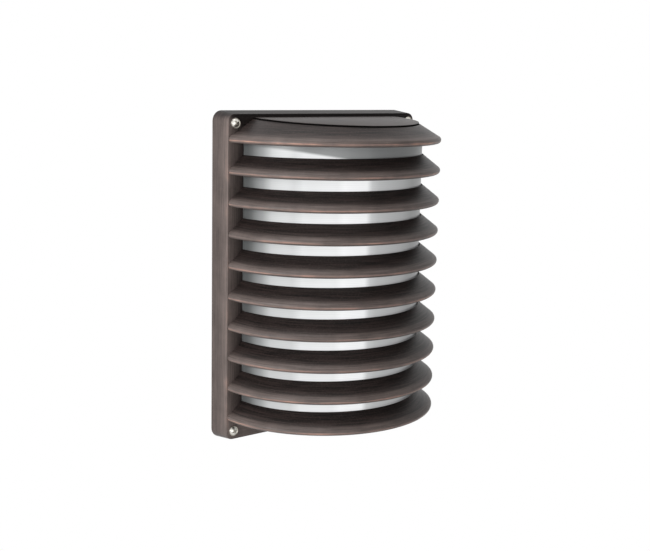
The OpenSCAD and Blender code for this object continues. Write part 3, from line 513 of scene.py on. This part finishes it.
def grown(name, mesh, tree, values):
    """Runs a node tree on a mesh and returns a plain mesh. values go by input name."""
    carrier = bpy.data.objects.new(name, mesh)
    bpy.context.scene.collection.objects.link(carrier)
    modifier = carrier.modifiers.new(name, "NODES")
    modifier.node_group = tree
    for item in tree.interface.items_tree:
        if item.in_out == "INPUT" and item.name in values:
            modifier[item.identifier] = values[item.name]
    shot = carrier.evaluated_get(bpy.context.evaluated_depsgraph_get())
    result = bpy.data.meshes.new_from_object(shot)
    carrier.modifiers.remove(modifier)
    bpy.data.objects.remove(carrier)
    result.name = name
    return result


# The louvres are copies of one, set down the cover at the pitch and numbered for their streaks
stack = bpy.data.node_groups.new("louvre stack", "GeometryNodeTree")
for name, kind, way in (
        ("Louvre", "NodeSocketGeometry", "INPUT"), ("Count", "NodeSocketInt", "INPUT"),
        ("First height", "NodeSocketFloat", "INPUT"), ("Pitch", "NodeSocketFloat", "INPUT"),
        ("Paint", "NodeSocketMaterial", "INPUT"), ("Stack", "NodeSocketGeometry", "OUTPUT")):
    stack.interface.new_socket(name, in_out=way, socket_type=kind)
given = add(stack, "NodeGroupInput")
start = add(stack, "ShaderNodeCombineXYZ", {"Z": given.outputs["First height"]})
fall = add(stack, "ShaderNodeMath", {0: given.outputs["Pitch"], 1: -1.0}, operation="MULTIPLY")
step = add(stack, "ShaderNodeCombineXYZ", {"Z": fall.outputs[0]})
ladder = add(stack, "GeometryNodeMeshLine", {
    "Count": given.outputs["Count"], "Start Location": start.outputs[0],
    "Offset": step.outputs[0]})
copies = add(stack, "GeometryNodeInstanceOnPoints", {
    "Points": ladder.outputs["Mesh"], "Instance": given.outputs["Louvre"]})
order = add(stack, "GeometryNodeInputIndex")
numbered = add(stack, "GeometryNodeStoreNamedAttribute", {
    "Geometry": copies.outputs["Instances"], "Name": "number", "Value": order.outputs[0]},
    data_type="FLOAT", domain="INSTANCE")
real = add(stack, "GeometryNodeRealizeInstances", {"Geometry": numbered.outputs[0]})
painted = add(stack, "GeometryNodeSetMaterial", {
    "Geometry": real.outputs[0], "Material": given.outputs["Paint"]})
add(stack, "NodeGroupOutput", {"Stack": painted.outputs[0]})
lower = grown("lower_louvres", louvre, stack, {
    "Count": LOUVRES - 1, "First height": (FIRST_NOSE - PITCH) * MM, "Pitch": PITCH * MM,
    "Paint": rust})
fit_piece("louvre_stack", lower, rust, "cover", "louvres")

# Closed top: the first louvre, whose slope runs up to a ledge round a raised panel. The panel
# falls forward by the casting's draft, and a groove round its foot is painted black and matt as
# painted shade.
PANEL_Z, DRAFT = 125.4, math.radians(2.9)  # height of the panel at the face plane, and its fall
TOP_SLOPE = math.radians(31)
STEP, LEDGE = 1.5, 0.5
GROOVE = ((-0.1, 0.12), (0.1, 0.0), (0.3, 0.5), (LEDGE, 0.5))  # insets and depths on the ledge
PANEL_RIM = ((LEDGE, 0.4), (LEDGE + 0.1, 0.1), (LEDGE + 0.35, 0.0))  # the same, on the panel
PANEL_WALL, ROOT_WALL, WALL_INSET = 4.2, 3.7, 1.5
# Painted highlight: the first nose's rub is raised so that it shows as a bright line
FIRST_NOSE_PAINTED_HIGHLIGHT = 1.15  # the first nose is the most exposed, and is rubbed to a bright line


def top_height(inset, angle, drop):
    """Height of the top plane, lowered by drop, over a point of the plan."""
    return PANEL_Z - drop + (louvre_point(inset, angle)[1] + FACE) * math.tan(DRAFT)


def ledge_inset(angle):
    """Where the first louvre's slope meets the ledge round the panel, found in a few rounds."""
    inset = louvre_depth(angle)
    for _ in range(6):
        height = top_height(inset, angle, STEP) - FIRST_NOSE
        inset = NOSE_R + (height - NOSE_R / math.cos(TOP_SLOPE)) / math.tan(TOP_SLOPE)
    return inset


def cap_ring(angle, back):
    """Section of the first louvre and the top behind it, and how far each point is rubbed."""
    edge, root = ledge_inset(angle), louvre_depth(angle)
    low = under_run(root) + nose_points(TOP_SLOPE)
    low += [(i, slope_height(i, TOP_SLOPE)) for i in SLOPE_STOPS + (root, edge - 0.5)]
    rise = [(i, FIRST_NOSE + h) for i, h in low]
    rise += [(edge + i, top_height(edge + i, angle, STEP + d)) for i, d in GROOVE]
    rise += [(edge + i, top_height(edge + i, angle, d)) for i, d in PANEL_RIM]
    ring = swept(rise, angle, back)
    # The panel runs back to just behind the frame's face, and the wall under it comes forward
    x, y, z = ring[-1]
    back_y = -FACE + ROOT_BACK + 0.2
    back_z = z + (back_y - y) * math.tan(DRAFT)
    ring += [(x, back_y, back_z), (x, back_y, back_z - PANEL_WALL)]
    ring += swept([
        (edge + WALL_INSET, top_height(edge + WALL_INSET, angle, PANEL_WALL)),
        (root, FIRST_NOSE + slope_height(root, TOP_SLOPE) - ROOT_WALL)], angle, back)
    # The first nose's rub carries its painted highlight, and below zero the groove and the panel's
    # foot are painted shade
    rub = [nose_wear_and_painted_highlight(i, h) * FIRST_NOSE_PAINTED_HIGHLIGHT for i, h in low] + [0.0, -0.2, -1.0, -1.0, -1.0, 0.0, 0.1]
    return ring, rub + [0.0] * (len(ring) - len(rub))


made = [cap_ring(a, back) for a, back in STATIONS]
cap = loft("cap", [ring for ring, rub in made], [rub for ring, rub in made])
fit_piece("closed_top", cap, rust, "cover", "top_louvre")

# Frame: the casting's rectangular surround, hollow behind. Its sides lean in to a small round at
# the front, and its face is open behind the louvres, where the diffuser sits.
HALF_W, HALF_H, CORNER_R = 96.5, 130, 8
FRONT_ROUND, LEAN = 0.7, 2.09
SKIRT_Y, PLATE_Y = -0.5, -16.0  # the skirt's back edge, and the back of the face plate
PLATE_INSET, SKIRT_INSET = 4.82, 3.0
OPENING = (80.41, -112.9, 118.7, 1.0)  # half width, low, high and corner radius
OPENING_BREAK = 0.2
# Rub on the frame: wear on the sides and front round, which also serves as painted light there,
# painted light on the foot, and painted shade across the top
SIDE_WEAR_AND_PAINTED_LIGHT, EDGE_WEAR_AND_PAINTED_HIGHLIGHT, FOOT_PAINTED_LIGHT, TOP_PAINTED_SHADE_OUTSIDE, TOP_PAINTED_SHADE_INSIDE = 0.36, 0.7, 0.5, 0.66, 0.3
CORNER_STEPS, ROUND_STEPS = 8, 6


def outline(half_x, low, high, r, y):
    """A rounded rectangle in the frame's plane, at distance y."""
    ring = []
    for corner_x, corner_z, start in (
            (half_x - r, high - r, 0), (r - half_x, high - r, 90),
            (r - half_x, low + r, 180), (half_x - r, low + r, 270)):
        for i in range(CORNER_STEPS + 1):
            a = math.radians(start + 90 * i / CORNER_STEPS)
            ring.append((corner_x + r * math.cos(a), y, corner_z + r * math.sin(a)))
    return ring


def frame_outline(inset, y):
    """The frame's outline, moved in by inset."""
    return outline(HALF_W - inset, inset - HALF_H, HALF_H - inset, CORNER_R - inset, y)


def frame_rub_and_painted_light(upright, painted_top_shade, foot=0.0):
    """Rub round a ring: wear along its uprights that also works as painted light, painted light on
    its foot, and below zero, painted shade across its top."""
    turns = [math.radians(start + 90 * i / CORNER_STEPS)
             for start in (0, 90, 180, 270) for i in range(CORNER_STEPS + 1)]
    return [upright * abs(math.cos(t)) - painted_top_shade * max(0.0, math.sin(t)) ** 2
            + foot * max(0.0, -math.sin(t)) ** 2 for t in turns]


half_way = (SKIRT_Y - (FACE - FRONT_ROUND)) / 2
rings = [frame_outline(0.0, SKIRT_Y), frame_outline(LEAN / 2, half_way)]
for i in range(ROUND_STEPS + 1):
    a = math.radians(90 * i / ROUND_STEPS)
    rings.append(frame_outline(LEAN + FRONT_ROUND * (1 - math.cos(a)),
                               FRONT_ROUND * (1 - math.sin(a)) - FACE))
half_x, low, high, r = OPENING
rings.append(outline(half_x, low, high, r, -FACE))
for y in (OPENING_BREAK - FACE, PLATE_Y):
    rings.append(outline(half_x - OPENING_BREAK, low + OPENING_BREAK, high - OPENING_BREAK,
                         r - OPENING_BREAK, y))
rings += [frame_outline(PLATE_INSET, PLATE_Y), frame_outline(SKIRT_INSET, SKIRT_Y)]
rub = [frame_rub_and_painted_light(SIDE_WEAR_AND_PAINTED_LIGHT, TOP_PAINTED_SHADE_OUTSIDE)] * 2 + [frame_rub_and_painted_light(EDGE_WEAR_AND_PAINTED_HIGHLIGHT, TOP_PAINTED_SHADE_OUTSIDE)] * ROUND_STEPS
rub += [frame_rub_and_painted_light(EDGE_WEAR_AND_PAINTED_HIGHLIGHT, TOP_PAINTED_SHADE_OUTSIDE, FOOT_PAINTED_LIGHT), frame_rub_and_painted_light(0.0, TOP_PAINTED_SHADE_INSIDE, FOOT_PAINTED_LIGHT)]
rub += [frame_rub_and_painted_light(0.0, TOP_PAINTED_SHADE_INSIDE)] * 4
body = loft("frame", rings, rub, path_closed=True, streaks_round=True)
fit_piece("rounded_frame", body, rust, "cover", "cover_frame")

# Cover screws: four stainless M4 pan-head screws with cross recesses, captive in the frame's
# corners on small O-rings, each turned to no particular angle. The steel is bright, and only a
# little softened by turning marks.
HEAD_R, HEAD_H, DOME_R, DOME_EDGE = 4.0, 2.5, 4.6, 3.6
SHANK_R, SHANK_END, TIP_R, TIP_END = 1.95, -14.0, 1.4, -14.6
RECESS = ((2.3, 0.55, HEAD_H + 0.5), (1.5, 0.35, HEAD_H - 1.7))  # half length and width, height
SCREW_X, SCREW_Z = 88.01, 121.0
SIDES, DOME_STEPS, MOST_TURN, SEED = 48, 8, 1.4, 3
steel = surface("bright stainless steel", "#dcd9d2", "#cbc8c1", 0.4, 0.3, spread=0.05,
                metallic=1.0, bump=0.06)
# Half a section of the screw: the domed head with its rim, then the shank and its tip
profile = [(0.0, HEAD_H)]
for i in range(1, DOME_STEPS + 1):
    r = DOME_EDGE * i / DOME_STEPS
    profile.append((r, HEAD_H - DOME_R + math.sqrt(DOME_R ** 2 - r ** 2)))
profile += [(HEAD_R - 0.15, 1.15), (HEAD_R, 0.75), (HEAD_R, 0.1), (HEAD_R - 0.1, 0.0),
            (SHANK_R, 0.0), (SHANK_R, SHANK_END), (TIP_R, TIP_END), (0.0, TIP_END)]
work = bmesh.new()
rows = []
for r, out in profile:
    turns = [2 * math.pi * k / SIDES for k in range(SIDES if r else 1)]
    rows.append([work.verts.new((r * MM * math.cos(t), -out * MM, r * MM * math.sin(t)))
                 for t in turns])
for upper, below in zip(rows, rows[1:]):
    for k in range(SIDES):
        quad = [upper[k % len(upper)], upper[(k + 1) % len(upper)],
                below[(k + 1) % len(below)], below[k % len(below)]]
        work.faces.new(list(dict.fromkeys(quad)))
bmesh.ops.recalc_face_normals(work, faces=work.faces)
screw = bpy.data.meshes.new("screw")
work.to_mesh(screw)
work.free()
# The cross recess is cut by two tapered blades
work = bmesh.new()
for turn in (0, 90):
    for half_long, half_wide, out in RECESS:
        for sx, sz in ((-1, -1), (1, -1), (1, 1), (-1, 1)):
            spot = Vector((sx * half_long, -out, sz * half_wide))
            spot = Matrix.Rotation(math.radians(turn), 4, "Y") @ spot
            work.verts.new(spot * MM)
work.verts.ensure_lookup_table()
for first in (0, 8):
    v = work.verts[first:first + 8]
    for quad in ((0, 1, 2, 3), (7, 6, 5, 4), (0, 4, 5, 1), (1, 5, 6, 2), (2, 6, 7, 3),
                 (3, 7, 4, 0)):
        work.faces.new([v[q] for q in quad])
bmesh.ops.recalc_face_normals(work, faces=work.faces)
blades = bpy.data.meshes.new("blades")
work.to_mesh(blades)
work.free()
head = bpy.data.objects.new("head", screw)
cutter = bpy.data.objects.new("cutter", blades)
for thing in (head, cutter):
    bpy.context.scene.collection.objects.link(thing)
cut = head.modifiers.new("recess", "BOOLEAN")
cut.operation, cut.object, cut.solver, cut.use_self = "DIFFERENCE", cutter, "EXACT", True
bpy.context.view_layer.update()
shot = head.evaluated_get(bpy.context.evaluated_depsgraph_get())
recessed = bpy.data.meshes.new_from_object(shot)
bpy.data.objects.remove(head)
bpy.data.objects.remove(cutter)
# One screw is set at each corner of the frame's face
corners = bpy.data.meshes.new("screw places")
corners.from_pydata([(x * SCREW_X * MM, -FACE * MM, z * SCREW_Z * MM)
                     for x in (-1, 1) for z in (-1, 1)], [], [])
pattern = bpy.data.objects.new("screw_pattern", recessed)
bpy.context.scene.collection.objects.link(pattern)
driven = bpy.data.node_groups.new("driven screws", "GeometryNodeTree")
for name, kind, way in (
        ("Places", "NodeSocketGeometry", "INPUT"), ("Screw", "NodeSocketObject", "INPUT"),
        ("Seed", "NodeSocketInt", "INPUT"), ("Most turn", "NodeSocketFloat", "INPUT"),
        ("Steel", "NodeSocketMaterial", "INPUT"), ("Screws", "NodeSocketGeometry", "OUTPUT")):
    driven.interface.new_socket(name, in_out=way, socket_type=kind)
given = add(driven, "NodeGroupInput")
one = add(driven, "GeometryNodeObjectInfo", {"Object": given.outputs["Screw"]})
angle = add(driven, "FunctionNodeRandomValue", {
    "Max": given.outputs["Most turn"], "Seed": given.outputs["Seed"]}, data_type="FLOAT")
turn = add(driven, "ShaderNodeCombineXYZ", {"Y": angle.outputs["Value"]})
copies = add(driven, "GeometryNodeInstanceOnPoints", {
    "Points": given.outputs["Places"], "Instance": one.outputs["Geometry"],
    "Rotation": turn.outputs[0]})
real = add(driven, "GeometryNodeRealizeInstances", {"Geometry": copies.outputs["Instances"]})
finished = add(driven, "GeometryNodeSetMaterial", {
    "Geometry": real.outputs[0], "Material": given.outputs["Steel"]})
add(driven, "NodeGroupOutput", {"Screws": finished.outputs[0]})
screws = grown("cover_screw_set", corners, driven, {
    "Screw": pattern, "Seed": SEED, "Most turn": MOST_TURN, "Steel": steel})
bpy.data.objects.remove(pattern)
screws.polygons.foreach_set("use_smooth", [True] * len(screws.polygons))
screws.set_sharp_from_angle(angle=math.radians(30))
fit_piece("cover_screw_set", screws, steel, "cover", "cover_screws")
rounded_copy("screw_seals", "cover", rubber)

# Camera: the photograph's own viewpoint, to the left of the light and a little above it, with a
# short telephoto lens.
YAW, PITCH_DOWN, ROLL = math.radians(38.556), math.radians(9.99), math.radians(1.204)
EYE, LENS, SENSOR = (-569.75, -736.13, 157.21), 62.602, 36.0
ahead = Vector((math.sin(YAW) * math.cos(PITCH_DOWN), math.cos(YAW) * math.cos(PITCH_DOWN),
                -math.sin(PITCH_DOWN)))
right = Vector((math.cos(YAW), -math.sin(YAW), 0))
up = right.cross(ahead)
level_right = right * math.cos(ROLL) + up * math.sin(ROLL)
level_up = up * math.cos(ROLL) - right * math.sin(ROLL)
camera_data = bpy.data.cameras.new("camera")
camera_data.lens, camera_data.sensor_width = LENS, SENSOR
camera = bpy.data.objects.new("camera", camera_data)
bpy.context.scene.collection.objects.link(camera)
aimed = Matrix((level_right, level_up, -ahead)).transposed().to_4x4()
camera.matrix_world = Matrix.Translation(Vector(EYE) * MM) @ aimed
bpy.context.scene.camera = camera

# Studio: a white sweep under a white surround that lights the object only weakly, a large softbox
# overhead, a stronger one at the left, and a weak one low at the front. Its sizes are in metres.
SURROUND, SWEEP_HALF, SWEEP_Z = 0.22, 3.0, -0.5
AIM = Vector((0.0, -0.05, 0.0))
scene = bpy.context.scene
scene.view_settings.view_transform = "Standard"


def looking(tree):
    """1 for rays from the camera, in gloss and through glass, which see the studio plain white."""
    rays = add(tree, "ShaderNodeLightPath")
    seen = add(tree, "ShaderNodeMath", {
        0: rays.outputs["Is Camera Ray"], 1: rays.outputs["Is Glossy Ray"]},
        operation="MAXIMUM")
    seen = add(tree, "ShaderNodeMath", {
        0: seen.outputs[0], 1: rays.outputs["Is Transmission Ray"]}, operation="MAXIMUM")
    return seen.outputs[0]


world = bpy.data.worlds.new("white studio")
scene.world = world
world.use_nodes = True
tree = world.node_tree
level = add(tree, "ShaderNodeMapRange", {
    "Value": looking(tree), "To Min": SURROUND, "To Max": 1.0})
tree.links.new(level.outputs["Result"], tree.nodes["Background"].inputs["Strength"])
tree.nodes["Background"].inputs["Color"].default_value = (1, 1, 1, 1)

floor_mesh = bpy.data.meshes.new("floor")
floor_mesh.from_pydata([(x * SWEEP_HALF, y * SWEEP_HALF, SWEEP_Z)
                        for x, y in ((-1, -1), (1, -1), (1, 1), (-1, 1))], [], [(0, 1, 2, 3)])
floor = bpy.data.objects.new("floor", floor_mesh)
scene.collection.objects.link(floor)
sweep = bpy.data.materials.new("white studio sweep")
sweep.use_nodes = True
tree = sweep.node_tree
shader = tree.nodes["Principled BSDF"]
shader.inputs["Base Color"].default_value = linear("#e8e8e8")
shader.inputs["Roughness"].default_value = 0.9
white = add(tree, "ShaderNodeEmission", {"Color": (1, 1, 1, 1), "Strength": 1.0})
mixed = add(tree, "ShaderNodeMixShader", {
    0: looking(tree), 1: shader.outputs[0], 2: white.outputs[0]})
tree.links.new(mixed.outputs[0], tree.nodes["Material Output"].inputs["Surface"])
floor_mesh.materials.append(sweep)


def softbox(name, spot, painted_glow_under_shade, width):
    """A square lamp of so many watts, turned towards the object."""
    lamp = bpy.data.lights.new(name, "AREA")
    lamp.energy, lamp.size = painted_glow_under_shade, width
    box = bpy.data.objects.new(name, lamp)
    scene.collection.objects.link(box)
    box.location = spot
    box.rotation_mode = "QUATERNION"
    box.rotation_quaternion = (AIM - Vector(spot)).to_track_quat("-Z", "Y")


softbox("overhead", (-0.4, -0.15, 1.7), 15.5, 0.9)
softbox("left", (-1.8, -0.3, 0.35), 30, 0.8)
softbox("front", (-0.8, -1.7, -0.3), 7.5, 0.9)
